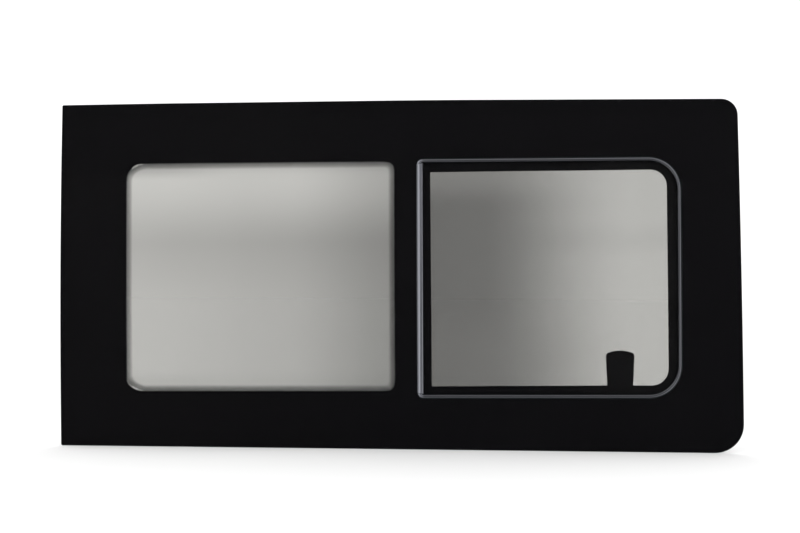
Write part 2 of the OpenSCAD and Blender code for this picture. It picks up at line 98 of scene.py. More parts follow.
# What keeps the back face of a pane and what is printed on it apart
HAIR = 0.02 * MM
SLIDE_INNER = [
    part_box("sliding_glass_print")[side][axis] + (4 - 8 * side) * MM
    for axis in (0, 2) for side in (0, 1)
]
LATCH_PATCH = (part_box("latch_base")[0].x - 10 * MM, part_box("latch_base")[1].x + 10 * MM, 0.2)
LIP = (
    CLEAR[0] - 5 * MM, CUTOUT[1] + 1.5 * MM, CUTOUT[2] - 1.5 * MM, CUTOUT[3] + 1.5 * MM,
)
MESH = [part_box("screen_mesh")[side][axis] for axis in (0, 2) for side in (0, 1)]

# The bend that every layer of the window shares: its radius, and the place of its crown; and the
# fall of the bottom edge, in degrees
BEND_R = 5.5
FOOT_SLOPE = 0.55
CROWN_Z = (CUTOUT[2] + CUTOUT[3]) / 2
CROWN_Y = math.sqrt((BEND_R - GLASS_BACK / 2) ** 2 - CROWN_Z ** 2) - BEND_R


def depth_y(z, depth):
    """Y of the layer that lies so deep below the outer face, at height z."""
    return CROWN_Y + BEND_R - math.sqrt((BEND_R - depth) ** 2 - (z - CROWN_Z) ** 2)


def outward(point):
    """The vector from the bend's axis to a point: its length is the point's radius."""
    return Vector((0, point.y - CROWN_Y - BEND_R, point.z - CROWN_Z))


# The left end of the frame, which is drawn a little further left to stay behind the print
LEFT_END = ("left_post", "top_left_bend", "bottom_left_bend", "frame_bond")
LEFT_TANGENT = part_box("top_left_bend")[1].x
LEFT_STRETCH = 0.038

# Materials

# What the camera sees behind the window, and the share of it that the fly screen lets through
BACKDROP = 1.22
MESH_PASSES = 0.655
BLACK_GLASS = (0.0035, 0.0033, 0.004)
DUSTY_GLASS = (0.0055, 0.0052, 0.006)


class Signal:
    """A socket of a material that takes part in sums."""

    def __init__(self, finish, socket):
        self.finish = finish
        self.socket = socket

    def math(self, operation, *values):
        node = self.finish.node("ShaderNodeMath", {"operation": operation})
        for number, value in enumerate(values):
            self.finish.feed(node.inputs[number], value)
        return Signal(self.finish, node.outputs[0])

    def __add__(self, other):
        return self.math("ADD", self, other)

    def __radd__(self, other):
        return self.math("ADD", other, self)

    def __sub__(self, other):
        return self.math("SUBTRACT", self, other)

    def __rsub__(self, other):
        return self.math("SUBTRACT", other, self)

    def __mul__(self, other):
        return self.math("MULTIPLY", self, other)

    def __rmul__(self, other):
        return self.math("MULTIPLY", other, self)

    def __truediv__(self, other):
        return self.math("DIVIDE", self, other)

    def __pow__(self, other):
        return self.math("POWER", self, other)

    def __abs__(self):
        return self.math("ABSOLUTE", self)

    def most(self, other):
        return self.math("MAXIMUM", self, other)

    def ramp(self, low, high, kind="SMOOTHSTEP"):
        """0 at low and 1 at high."""
        settings = {"interpolation_type": kind}
        values = {"Value": self, "From Min": low, "From Max": high}
        return self.finish.signal("ShaderNodeMapRange", settings, values, "Result")


class Finish:
    """A node tree whose nodes are made one call at a time."""

    def __init__(self, owner):
        owner.use_nodes = True
        self.owner = owner
        self.tree = owner.node_tree
        self.tree.nodes.clear()

    def feed(self, socket, value):
        if isinstance(value, Signal):
            value = value.socket
        if isinstance(value, bpy.types.NodeSocket):
            self.tree.links.new(value, socket)
        else:
            socket.default_value = value

    def node(self, kind, settings=None, values=None):
        """A new node: its settings first, then the values or links of its sockets."""
        made = self.tree.nodes.new(kind)
        for name, value in (settings or {}).items():
            setattr(made, name, value)
        for name, value in (values or {}).items():
            self.feed(made.inputs[name], value)
        return made

    def signal(self, kind, settings, values, output):
        return Signal(self, self.node(kind, settings, values).outputs[output])

    @property
    def place(self):
        return self.signal("ShaderNodeTexCoord", {}, {}, "Object")

    def axes(self):
        parts = self.node("ShaderNodeSeparateXYZ", {}, {"Vector": self.place})
        return [Signal(self, parts.outputs[axis]) for axis in "XYZ"]

    def stretched(self, x, y, z):
        """Object coordinates with each axis scaled on its own."""
        values = {"Vector": self.place, "Scale": (x, y, z)}
        return self.signal("ShaderNodeMapping", {}, values, "Vector")

    def noise(self, scale, detail=2.0, roughness=0.5, place=None):
        values = {"Vector": place or self.place, "Scale": scale}
        values |= {"Detail": detail, "Roughness": roughness}
        return self.signal("ShaderNodeTexNoise", {}, values, "Fac")

    def specks(self, scale):
        """Distance from the nearest of many scattered points."""
        values = {"Vector": self.place, "Scale": scale}
        return self.signal("ShaderNodeTexVoronoi", {}, values, "Distance")

    def blend(self, share, low, high):
        """The colour between two colours, by a share."""
        node = self.node("ShaderNodeMix", {"data_type": "RGBA"})
        for number, value in ((0, share), (6, low), (7, high)):
            if isinstance(value, (tuple, list)):
                value = (*value, 1.0)
            self.feed(node.inputs[number], value)
        return Signal(self, node.outputs[2])

    def bump(self, height, distance, strength):
        values = {"Height": height, "Distance": distance, "Strength": strength}
        return self.signal("ShaderNodeBump", {}, values, "Normal")

    def principled(self, values):
        named = {name.replace("_", " "): value for name, value in values.items()}
        return self.node("ShaderNodeBsdfPrincipled", {}, named).outputs[0]

    def surface(self, **values):
        """Ends the tree in one Principled shader, and hands back the finished material."""
        self.node("ShaderNodeOutputMaterial", {}, {"Surface": self.principled(values)})
        return self.owner

    def film(self, through, tint, **values):
        """Ends the tree in a glossy face that lets a share of the light through."""
        clear = self.node("ShaderNodeBsdfTransparent", {}, {"Color": (*tint, 1.0)})
        mix = self.node("ShaderNodeMixShader")
        for socket, value in zip(mix.inputs, (through, self.principled(values), clear.outputs[0])):
            self.feed(socket, value)
        self.node("ShaderNodeOutputMaterial", {}, {"Surface": mix.outputs[0]})
        return self.owner


def finish(name):
    return Finish(bpy.data.materials.new(name))


def plain(color):
    return tuple(color)[:3]


def glass(f, through, tint):
    """A dusty pane, each of whose two faces lets through the root of what it lets through."""
    return f.film(
        through ** 0.5, plain(tint), Base_Color=f.blend(f.noise(6.0), BLACK_GLASS, DUSTY_GLASS),
        Roughness=0.02 + 0.03 * f.noise(12.0), IOR=1.5,
    )


def clear_glass(values):
    """Painted shade in what the fixed field lets through: darker to the right, in a band above its
    middle, along its top rim and near its bottom.
    """
    f = finish("clear_glass")
    x, _, z = f.axes()
    # Painted shade: the light passed through the field falls off to the right
    painted_seen_light = 0.565 - 0.034 * x.ramp(-0.45, -0.30, "LINEAR") - 0.163 * x.ramp(-0.22, 0.01)
    # A painted band of shade above the middle, lighter again below it
    light_again = 0.47 - 0.24 * x.ramp(-0.46, -0.02, "LINEAR")
    light_again = light_again * z.ramp(0.4065, 0.2815, "LINEAR")
    shade = (0.288 + 0.065 * x.ramp(-0.36, -0.14)) * z.ramp(0.5345, 0.3945) * (1 - light_again)
    shade = shade * (1 - 0.12 * x.ramp(-0.44, -0.52))
    # Painted shade along the field's top rim and near its bottom edge
    rim = (0.02 + 0.17 * x.ramp(-0.3, -0.48)) * z.ramp(0.528, 0.550)
    rim = rim + 0.09 * z.ramp(0.538, 0.556)
    painted_foot_shade = (0.055 + 0.045 * x.ramp(-0.3, -0.45)) * z.ramp(0.160, 0.124)
    through = painted_seen_light * (1 - shade) * (1 - rim - painted_foot_shade) / BACKDROP
    return glass(f, through, values.tint)


def grey_glass(values):
    """Painted light and shade in what the sliding pane lets through: dark at the left and lighter
    to the right, with painted light near the top and a painted band of shade.
    """
    f = finish("grey_glass")
    x, _, z = f.axes()
    # Painted light: the pane grows lighter to the right
    bright = x.ramp(0.165, 0.47)
    painted_seen_light = 0.141 + 0.01 * x.ramp(0.08, 0.2, "LINEAR") + 0.31 * bright
    # Painted light near the top and, a little, near the bottom of the dark left part; a painted
    # band of shade across the lighter part
    high = 0.064 * z.ramp(0.47, 0.54)
    low = z.ramp(0.30, 0.18) * (0.010 - 0.1 * bright)
    painted_dip_shade = 0.025 * abs(z - 0.408).ramp(0.045, 0.0)
    painted_seen_light = painted_seen_light + (1 - bright) * (high + low) - bright * painted_dip_shade
    return glass(f, painted_seen_light / (BACKDROP * MESH_PASSES), values.tint)


def ground_edge():
    """The ground rim of a pane, where the body of the glass shows its green."""
    f = finish("ground_edge")
    grain = f.noise(1800.0, 3.0, 0.6)
    color = f.blend(f.noise(50.0, 3.0), (0.010, 0.020, 0.017), (0.022, 0.040, 0.034))
    return f.surface(
        Base_Color=color, Roughness=0.42 + 0.2 * grain, IOR=1.5, Normal=f.bump(grain, 0.00006, 0.5)
    )


def black_print(name, low, high):
    """Ceramic ink as it looks through the glass, with little shine of its own."""
    f = finish(name)
    color = f.blend(f.noise(35.0, 3.0), plain(low), high)
    gloss = 0.36 + 0.04 * f.noise(40.0)
    return f.surface(Base_Color=color, Roughness=gloss, Specular_IOR_Level=0.12)


def satin_trim(name, low, high, coat):
    """Satin trim with fine upright streaks under a clear coat."""
    f = finish(name)
    streaks = f.noise(900.0, 3.0, 0.6, f.stretched(1.0, 1.0, 0.08))
    color = f.blend(f.noise(70.0, 3.0), plain(low), high)
    relief = f.bump(f.specks(520.0), 0.00006, 0.35)
    return f.surface(
        Base_Color=color, Roughness=0.24 + 0.12 * streaks, Specular_IOR_Level=0.75, Normal=relief,
        Coat_Weight=coat, Coat_Roughness=0.12,
    )


def rubber(values):
    f = finish("seal_rubber")
    color = f.blend(f.noise(90.0, 4.0), plain(values.rubber), (0.016, 0.016, 0.017))
    relief = f.bump(f.noise(1500.0, 3.0), 0.00008, 0.5)
    return f.surface(Base_Color=color, Roughness=0.6 + 0.2 * f.noise(200.0), Normal=relief)


def adhesive():
    f = finish("bond")
    color = f.blend(f.noise(40.0, 3.0), (0.008, 0.008, 0.009), (0.02, 0.02, 0.021))
    relief = f.bump(f.noise(180.0, 2.0), 0.0006, 0.8)
    return f.surface(Base_Color=color, Roughness=0.45 + 0.2 * f.noise(90.0), Normal=relief)


def coated_aluminium(values):
    f = finish("black_aluminium")
    grain = f.noise(1400.0, 3.0, 0.65)
    color = f.blend(f.noise(25.0, 4.0), plain(values.frame), (0.021, 0.021, 0.023))
    return f.surface(
        Base_Color=color, Roughness=0.42 + 0.14 * grain, Specular_IOR_Level=0.55,
        Normal=f.bump(grain, 0.00012, 0.35),
    )


def moulded_plastic(values):
    f = finish("black_plastic")
    grain = f.specks(1300.0)
    color = f.blend(f.noise(60.0, 3.0), plain(values.plastic), (0.024, 0.024, 0.025))
    relief = f.bump(grain, 0.00015, 0.4)
    return f.surface(Base_Color=color, Roughness=0.4 + 0.15 * grain, Normal=relief)


def brushed_steel(name, low, high):
    f = finish(name)
    lines = f.noise(500.0, 4.0, 0.7, f.stretched(1.0, 1.0, 0.03))
    color = f.blend(lines, low, plain(high))
    relief = f.bump(lines, 0.00004, 0.4)
    return f.surface(Base_Color=color, Metallic=1.0, Roughness=0.22 + 0.2 * lines, Normal=relief)


def glide_plastic():
    f = finish("glide_plastic")
    color = f.blend(f.noise(120.0, 3.0), (0.48, 0.48, 0.45), (0.62, 0.62, 0.59))
    return f.surface(Base_Color=color, Roughness=0.38 + 0.2 * f.noise(400.0))


def coated_thread(values):
    f = finish("mesh")
    color = f.blend(f.noise(800.0, 2.0), plain(values.thread), (0.03, 0.03, 0.028))
    return f.surface(Base_Color=color, Roughness=0.5 + 0.2 * f.noise(2000.0))


# Modelling

# Corners closer than this are one; cuts snap to corners closer than this
WELD = 0.002 * MM
CUT_SLACK = 0.0005 * MM
# Edges that turn by more than these are shaded as edges, and rounded
SHARP = math.radians(32)
ROUNDED = math.radians(30)
# The faces of a bent layer whose normals agree less than this with the bend's are its rim
RIM_LEAN = 0.99


def finished_piece(name, bm, material, body, slot, *replaced):
    """Makes a piece of a closed mesh that lies in place already."""
    bmesh.ops.recalc_face_normals(bm, faces=bm.faces)
    mesh = bpy.data.meshes.new(name)
    bm.to_mesh(mesh)
    bm.free()
    mesh.shade_smooth()
    mesh.set_sharp_from_angle(angle=SHARP)
    mesh.materials.append(material)
    piece = bpy.data.objects.new(name, mesh)
    bpy.context.scene.collection.objects.link(piece)
    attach(piece, body)
    if replaced:
        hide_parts(*replaced)
    return piece


def bend(bm):
    """Bends a flat model, in which Y is the depth below the outer face."""
    for vertex in bm.verts:
        vertex.co.y = depth_y(vertex.co.z, vertex.co.y)


def everything(bm):
    return bm.verts[:] + bm.edges[:] + bm.faces[:]


def only_edges(geometry):
    return [e for e in geometry if isinstance(e, bmesh.types.BMEdge)]


def merged_copy(node):
    """The mesh of a CAD node with its doubled corners merged and its flat faces whole."""
    bm = bmesh.new()
    bm.from_mesh(NODES[node].data)
    bmesh.ops.remove_doubles(bm, verts=bm.verts, dist=WELD)
    bmesh.ops.dissolve_limit(
        bm, angle_limit=math.radians(0.3), use_dissolve_boundaries=False, verts=bm.verts,
        edges=bm.edges, delimit=set(),
    )
    return bm


def split(bm, point, normal, above=False, below=False):
    """Cuts a mesh along a plane, clears what lies above or below, and gives the cut's edges."""
    made = bmesh.ops.bisect_plane(
        bm, geom=everything(bm), dist=CUT_SLACK, plane_co=point, plane_no=normal,
        use_snap_center=False, clear_outer=above, clear_inner=below,
    )
    return only_edges(made["geom_cut"])


def finely_bent(bm, front, back):
    """Cuts a layer every 20 mm of its height and lays the cuts on the true bend.

    The CAD's flat facets lie a little deeper than the bend, so only what is nearly as deep as the
    back face belongs to it.
    """
    for height in range(-33, 713, 20):
        split(bm, (0, 0, height * MM), (0, 0, 1))
    deep = back - 0.2 * (back - front)
    for vertex in bm.verts:
        depth = BEND_R - outward(vertex.co).length
        vertex.co.y = depth_y(vertex.co.z, back if depth > deep else front)


def round_edges(bm, radius, segments):
    edges = [e for e in bm.edges if e.is_manifold and e.calc_face_angle() > ROUNDED]
    bmesh.ops.bevel(
        bm, geom=edges, offset=radius, offset_type="OFFSET", segments=segments, profile=0.5,
        affect="EDGES", clamp_overlap=True, material=-1, loop_slide=True,
    )


def softened(node, material, slot, radius, segments=2):
    """A copy of a CAD node with its edges rounded, which replaces it."""
    bm = merged_copy(node)
    if node in LEFT_END:
        for vertex in bm.verts:
            vertex.co.x += min(0.0, vertex.co.x - LEFT_TANGENT) * LEFT_STRETCH
    round_edges(bm, radius, segments)
    piece = finished_piece(node + "_edged", bm, material, NODES[node]["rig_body"], slot, node)
    even = piece.modifiers.new("even_shading", "WEIGHTED_NORMAL")
    even.keep_sharp = True
    return piece


def true_shading(mesh):
    """Shades the faces of a bent layer as its true bend, and returns the faces of its rim."""
    rim = []
    normals = [corner.vector.copy() for corner in mesh.corner_normals]
    for face in mesh.polygons:
        lean = face.normal.dot(outward(face.center).normalized())
        if abs(lean) < RIM_LEAN:
            rim.append(face)
            continue
        for corner in face.loop_indices:
            point = mesh.vertices[mesh.loops[corner].vertex_index].co
            normals[corner] = outward(point).normalized() * math.copysign(1.0, lean)
    mesh.normals_split_custom_set(normals)
    return rim


def glass_pane(node, material, edge, slot, front, back):
    """A pane with a ground rim, whose back face lies a hair in front of its print."""
    bm = merged_copy(node)
    if node == "outer_glass":
        refit(bm, CUTOUT, EDGE)
    finely_bent(bm, front, back - HAIR)
    round_edges(bm, 0.3 * MM, 2)
    piece = finished_piece(node + "_edged", bm, material, NODES[node]["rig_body"], slot, node)
    piece.data.materials.append(edge)
    for face in true_shading(piece.data):
        face.material_index = 1


def refit(bm, box, aim):
    """Moves an edge that runs round a box to where it runs round another."""
    reach = 1 * MM
    for vertex in bm.verts:
        x, z = vertex.co.x, vertex.co.z
        if box[0] - reach < x < box[1] + reach and box[2] - reach < z < box[3] + reach:
            vertex.co.x = aim[0] + (x - box[0]) * (aim[1] - aim[0]) / (box[1] - box[0])
            vertex.co.z = aim[2] + (z - box[2]) * (aim[3] - aim[2]) / (box[3] - box[2])


def sliding_field(x, z):
    """The sliding pane's print lies a little askew on it, and its patch over the latch is wider."""
    left, right, top = LATCH_PATCH
    if left < x < right and z < top:
        return x + 0.042 * (x - left - 6 * MM), z
    skew = 0.0038
    return x + 1.35 * MM + skew * (0.35 - z), z - 1.4 * MM + skew * (x - 0.139)


def print_layer(node, material, front, back):
    """The black print of a pane, with the edges of its openings moved to where they belong."""
    bm = merged_copy(node)
    if node == "outer_glass_print":
        refit(bm, CLEAR, FIELD)
        refit(bm, CUTOUT, EDGE)
    else:
        left, right, bottom, top = SLIDE_INNER
        for vertex in bm.verts:
            x, z = vertex.co.x, vertex.co.z
            if left < x < right and bottom < z < top:
                vertex.co.x, vertex.co.z = sliding_field(x, z)
    finely_bent(bm, front, back)
    body = NODES[node]["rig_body"]
    piece = finished_piece(node + "_layer", bm, material, body, "black_print", node)
    true_shading(piece.data)


def profile_ring(bm, outline, place):
    """The edges of a closed outline; place gives the point of an offset and a depth."""
    corners = [bm.verts.new(place(offset * MM, depth * MM)) for offset, depth in outline]
    return corners + [bm.edges.new(pair) for pair in zip(corners, corners[1:] + corners[:1])]


def run(x, z, steps):
    """A straight part of a sweep."""
    return {"cent": (0, 0, 0), "dvec": Vector((x, 0, z)) / steps, "angle": 0.0, "steps": steps}


def turn(x, z, degrees, steps):
    """A part of a sweep that turns about a centre."""
    angle = math.radians(degrees)
    return {"cent": (x, 0, z), "dvec": (0, 0, 0), "angle": angle, "steps": steps}


def swept(bm, ring, moves):
    """Sweeps a ring through straight runs and turns, and closes both ends."""
    last = ring
    for move in moves:
        made = bmesh.ops.spin(
            bm, geom=last, axis=(0, 1, 0), use_merge=False, use_normal_flip=False,
            use_duplicate=False, **move,
        )
        last = made["geom_last"]
    for end in (ring, last):
        bmesh.ops.edgeloop_fill(bm, edges=only_edges(end))


# Offsets inward from the edge of the cut-out, and depths below the outer face, in millimetres
BEAD = (
    (0.7, 1.9), (1.1, 1.35), (1.8, 0.85), (2.7, 0.45), (3.7, 0.17), (4.6, 0.04), (5.4, 0.06),
    (6.1, 0.3), (6.6, 0.8), (6.9, 1.6), (6.9, 6.15),
)
BEAD_LEG = ((-6.0, 6.15), (-6.0, 4.2), (0.7, 4.2))
BEAD_FOOT = ((0.7, 6.15),)
RIB = (
    (0.0, 1.85), (0.25, 1.77), (0.8, 1.7), (3.1, 1.27), (4.4, 0.8), (5.7, 0.31), (6.4, 0.08),
    (7.1, 0.02), (7.7, 0.08), (8.2, 0.26), (8.6, 0.6), (9.0, 1.2), (9.2, 1.7), (9.7, 1.7),
    (9.9, 1.2), (10.3, 0.86), (11.1, 0.5), (11.6, 0.42), (11.85, 0.7), (12.0, 1.4), (12.0, 6.15),
    (0.0, 6.15),
)
STILE_W = 12 * MM
# The radius of the cut-out's corners at the left, in the trim, and at the right
LEFT_R = 12 * MM
RIGHT_R = 64 * MM


def trim_bead(materials):
    """The bead round the top, right and bottom of the cut-out, with its leg behind the glass."""
    left, right, bottom, top = EDGE
    bm = bmesh.new()
    start = left + STILE_W
    end = right - RIGHT_R
    ring = profile_ring(bm, BEAD + BEAD_LEG, lambda u, d: (start, d, top - u))
    swept(bm, ring, (
        run(end - start, 0, 8),
        turn(end, top - RIGHT_R, 90, 32),
        run(0, bottom - top + 2 * RIGHT_R, 16),
        turn(end, bottom + RIGHT_R, 90, 32),
        run(start - end, 0, 8),
    ))
    bend(bm)
    bead = materials["grey_trim"]
    finished_piece("edge_trim_bead", bm, bead, "window", "grey_trim", "cutout_trim")


def mitred(bm, ring, move, left_drop, right_drop, keep_upper):
    """Sweeps a ring at the cut-out's top left, cut along a line that falls so far from the top."""
    left, _, _, top = EDGE
    swept(bm, ring, (move,))
    low = Vector((left, 0, top - left_drop * MM))
    along = Vector((left + STILE_W, 0, top - right_drop * MM)) - low
    cut = split(bm, low, (-along.z, 0, along.x), above=not keep_upper, below=keep_upper)
    bmesh.ops.edgeloop_fill(bm, edges=cut)


def stile_bead(materials):
    """The ribbed stile, and the two corners in which the bead comes round to meet it."""
    left, _, bottom, top = EDGE
    middle = (top + bottom) / 2
    bm = bmesh.new()
    holder = bpy.data.meshes.new("holder")
    corner = bmesh.new()
    ring = profile_ring(corner, BEAD + BEAD_FOOT, lambda u, d: (left + STILE_W, d, top - u))
    mitred(corner, ring, turn(left + LEFT_R, top - LEFT_R, -90, 14), 10.4, 7.4, True)
    gathered(corner, bm, holder)
    ribs = bmesh.new()
    start = top - 4 * MM
    ring = profile_ring(ribs, RIB, lambda u, d: (left + u, d, start))
    mitred(ribs, ring, run(0, middle - start, 8), 10.6, 9.2, False)
    gathered(ribs, bm, holder)
    bmesh.ops.mirror(
        bm, geom=everything(bm), matrix=Matrix.Translation((0, 0, -middle)), merge_dist=-1.0,
        axis="Z", mirror_u=False, mirror_v=False,
    )
    bend(bm)
    bpy.data.meshes.remove(holder)
    # The stile's material carries painted light from the left
    stile = materials["stile_trim"]
    finished_piece("stile_bead", bm, stile, "window", "stile_trim", "mullion_trim")


def gathered(small, whole, holder):
    """Adds a small mesh to a whole one, which stays quick however many there are."""
    small.to_mesh(holder)
    small.free()
    whole.from_mesh(holder)


def frit_dots(values, materials):
    """Staggered dots that thin out from the border into the clear field."""
    left, right, bottom, top = FIELD
    pitch = values.dot_pitch
    front = GLASS_BACK + HAIR
    middle = (front + PRINT_BACK) / 2
    bm = bmesh.new()
    holder = bpy.data.meshes.new("holder")
    columns = int((right - left) / pitch)
    rows = int((top - bottom) / pitch)
    facing = Matrix.Rotation(math.pi / 2, 4, "X") @ Matrix.Rotation(math.pi / 8, 4, "Z")
    for column in range(columns):
        x = left + (column + 0.5) * (right - left) / columns
        for row in range(column % 2, rows, 2):
            z = bottom + (row + 0.5) * (top - bottom) / rows
            inward = edge_distance(x, z)
            if not 0 <= inward < values.dot_band:
                continue
            covered = values.dot_cover * (1 - (inward / values.dot_fade) ** 1.9)
            radius = pitch * math.sqrt(covered / math.sqrt(2.0))
            dot = bmesh.new()
            bmesh.ops.create_cone(
                dot, cap_ends=True, cap_tris=False, segments=8, radius1=radius, radius2=radius,
                depth=PRINT_BACK - front, matrix=Matrix.Translation((x, middle, z)) @ facing,
            )
            gathered(dot, bm, holder)
    bend(bm)
    bpy.data.meshes.remove(holder)
    finished_piece("print_dots", bm, materials["black_print"], "window", "black_print")


# The radius of the clear field's corners at the left and at the right, and how fast the dots thin
# out at its left edge, against the others
FIELD_R = (34 * MM, 18 * MM)
LEFT_BAND = 0.75


def edge_distance(x, z):
    """How far a point of the clear field lies inside its rounded edge; the left band is wider."""
    left, right, bottom, top = FIELD
    radius = FIELD_R[0] if x < (left + right) / 2 else FIELD_R[1]
    inward_x = min((x - left) * LEFT_BAND, right - x)
    inward_z = min(z - bottom, top - z)
    if inward_x < radius and inward_z < radius:
        return radius - math.hypot(radius - inward_x, radius - inward_z)
    return min(inward_x, inward_z)


def fly_mesh(values, materials):
    """The fly screen's threads, each a slim bar: the level ones lie half behind the upright."""
    left, right, bottom, top = MESH
    corner = 65.2 * MM
    gap = 0.2 * MM
    thick = values.thread
    deep = 0.7 * thick
    bm = bmesh.new()
    holder = bpy.data.meshes.new("holder")

    def cut_back(distance):
        """How much shorter a thread is that lies so far inside the rounded edge."""
        if distance > corner:
            return 0.0
        return corner - math.sqrt(corner ** 2 - (corner - distance) ** 2)

    def thread(low, high, cuts):
        size = [b - a for a, b in zip(low, high)]
        middle = [(a + b) / 2 for a, b in zip(low, high)]
        place = Matrix.Translation(middle) @ Matrix.Diagonal((*size, 1.0))
        bar = bmesh.new()
        bmesh.ops.create_cube(bar, size=1.0, matrix=place)
        if cuts:
            longest = [e for e in bar.edges if e.calc_length() > 10 * MM]
            bmesh.ops.subdivide_edges(bar, edges=longest, cuts=cuts, use_grid_fill=False)
        gathered(bar, bm, holder)

    for number in range(1, int((right - left) / values.warp_pitch)):
        x = left + number * values.warp_pitch
        short = cut_back(right - x - thick) + gap
        back = MESH_FRONT + deep
        thread((x, MESH_FRONT, bottom + short), (x + thick, back, top - short), 11)
    for number in range(1, int((top - bottom) / values.weft_pitch)):
        z = bottom + number * values.weft_pitch
        short = cut_back(min(z - bottom, top - z - thick)) + gap
        front = MESH_FRONT + 0.5 * thick
        thread((left + gap, front, z), (right - short, front + deep, z + thick), 0)
    bend(bm)
    bpy.data.meshes.remove(holder)
    finished_piece("fly_mesh_threads", bm, materials["mesh"], "window", "mesh", "screen_mesh")


def screw_spots():
    """Places along the middle of the frame's inner flange, as X and Z."""
    left, right, bottom, top = LIP
    reach = 13 * MM
    corner = 60 * MM
    for step in range(6):
        x = left + corner + step * (right - left - 2 * corner) / 5
        yield from ((x, bottom - reach), (x, top + reach))
    for x, shares in ((left - reach * 1.1, (0.18, 0.5, 0.82)), (right + reach, (0.22, 0.5, 0.78))):
        yield from ((x, bottom + (top - bottom) * share) for share in shares)


def screw_head(x, z):
    """A low head whose sides lean in, with a socket of six lobes."""
    backward = Matrix.Rotation(math.radians(-90), 4, "X")
    head = bmesh.new()
    bmesh.ops.create_cone(
        head, cap_ends=True, cap_tris=False, segments=24, radius1=4.4 * MM, radius2=3.5 * MM,
        depth=0.7 * MM, matrix=Matrix.Translation((x, COVER_BACK, z)) @ backward,
    )
    crown = max(head.faces, key=lambda face: face.calc_center_median().y)
    bmesh.ops.inset_region(head, faces=[crown], thickness=1.3 * MM, use_even_offset=True)
    centre = crown.calc_center_median()
    for number, corner in enumerate(crown.verts):
        if number % 4 < 2:
            corner.co = centre + (corner.co - centre) * 0.62
    socket = bmesh.ops.extrude_face_region(head, geom=[crown])
    sunk = [v for v in socket["geom"] if isinstance(v, bmesh.types.BMVert)]
    bmesh.ops.translate(head, verts=sunk, vec=(0, -0.55 * MM, 0))
    bmesh.ops.delete(head, geom=[crown], context="FACES_ONLY")
    return head


def cover_screws(materials):
    """The screws of the frame's inner flange."""
    bm = bmesh.new()
    holder = bpy.data.meshes.new("holder")
    for x, z in screw_spots():
        gathered(screw_head(x, z), bm, holder)
    bend(bm)
    bpy.data.meshes.remove(holder)
    finished_piece("cover_screws", bm, materials["dark_steel"], "window", "steel")


def grip_ribs(materials):
    """Five low ribs on the latch's thumb slide."""
    low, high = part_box("latch_thumb_slide")
    size = Matrix.Diagonal((15 * MM, 0.4 * MM, 1.3 * MM, 1.0))
    bm = bmesh.new()
    holder = bpy.data.meshes.new("holder")
    for number in range(5):
        z = low.z + (4.0 + 3.0 * number) * MM
        rib = bmesh.new()
        place = Matrix.Translation(((low.x + high.x) / 2, THUMB_BACK, z))
        bmesh.ops.create_cube(rib, size=1.0, matrix=place @ size)
        round_edges(rib, 0.15 * MM, 2)
        gathered(rib, bm, holder)
    bend(bm)
    bpy.data.meshes.remove(holder)
    plastic = materials["black_plastic"]
    finished_piece("latch_grip_ribs", bm, plastic, "sliding_pane", "black_plastic")


# Values that a user would change


def amount(name, description, default, **limits):
    return FloatProperty(name=name, description=description, default=default, **limits)


def length(name, description, default):
    return amount(name, description, default, min=0.0, precision=5, unit="LENGTH")


def tone(name, description, default):
    return FloatVectorProperty(
        name=name, description=description, default=default, size=3, min=0.0, max=1.0,
        subtype="COLOR",
    )


class VANWINDOW_PG_shapes(bpy.types.PropertyGroup):
    dot_pitch: length("Dot pitch", "Half the distance between two dots of a row", 0.0018)
    dot_cover: amount(
        "Dot cover", "Share that the dots cover next to the border", 0.74, min=0.1, max=0.78
    )
    dot_fade: length("Dot fade", "Distance over which the dots would shrink to nothing", 0.0120)
    dot_band: length("Dot band", "Width of the dotted band", 0.0108)
    thread: length("Thread", "Thickness of a thread of the fly screen", 0.00028)
    warp_pitch: length("Upright pitch", "Distance between upright threads", 0.00141)
    weft_pitch: length("Level pitch", "Distance between level threads", 0.00155)


class VANWINDOW_PG_finishes(bpy.types.PropertyGroup):
    tint: tone("Glass tint", "Colour of what a face of the glass lets through", (1.0, 0.997, 0.974))
    print_black: tone("Black print", "Colour of the ceramic print", (0.0055, 0.0048, 0.006))
    pane_black: tone("Pane's print", "Colour of the sliding pane's print", (0.0085, 0.0085, 0.0098))
    trim: tone("Trim", "Colour of the edge trim", (0.010, 0.0105, 0.013))
    # Painted light: the stile is the same black trim, made much lighter to stand in for the light
    # falling on it from the left
    stile: tone("Stile", "Colour of the ribbed bead at the left", (0.054, 0.056, 0.066))
    rubber: tone("Rubber", "Colour of the seals", (0.010, 0.010, 0.011))
    frame: tone("Frame", "Coating of the aluminium frame", (0.014, 0.014, 0.015))
    plastic: tone("Plastic", "Colour of the latch", (0.015, 0.015, 0.016))
    steel: tone("Steel", "Colour of the bare metal", (0.62, 0.62, 0.63))
    screw: tone("Screws", "Colour of the blackened screws", (0.17, 0.17, 0.175))
    thread: tone("Thread", "Colour of the fly screen's threads", (0.016, 0.016, 0.016))


class VANWINDOW_PG_stage(bpy.types.PropertyGroup):
    floor: tone("Floor", "Colour of the pale floor", (0.86, 0.86, 0.86))
    room: amount("Room light", "Brightness of the white room", 1.8, min=0.0)
    backdrop: amount("Backdrop", "Brightness behind the window", BACKDROP, min=0.0)


# Steps


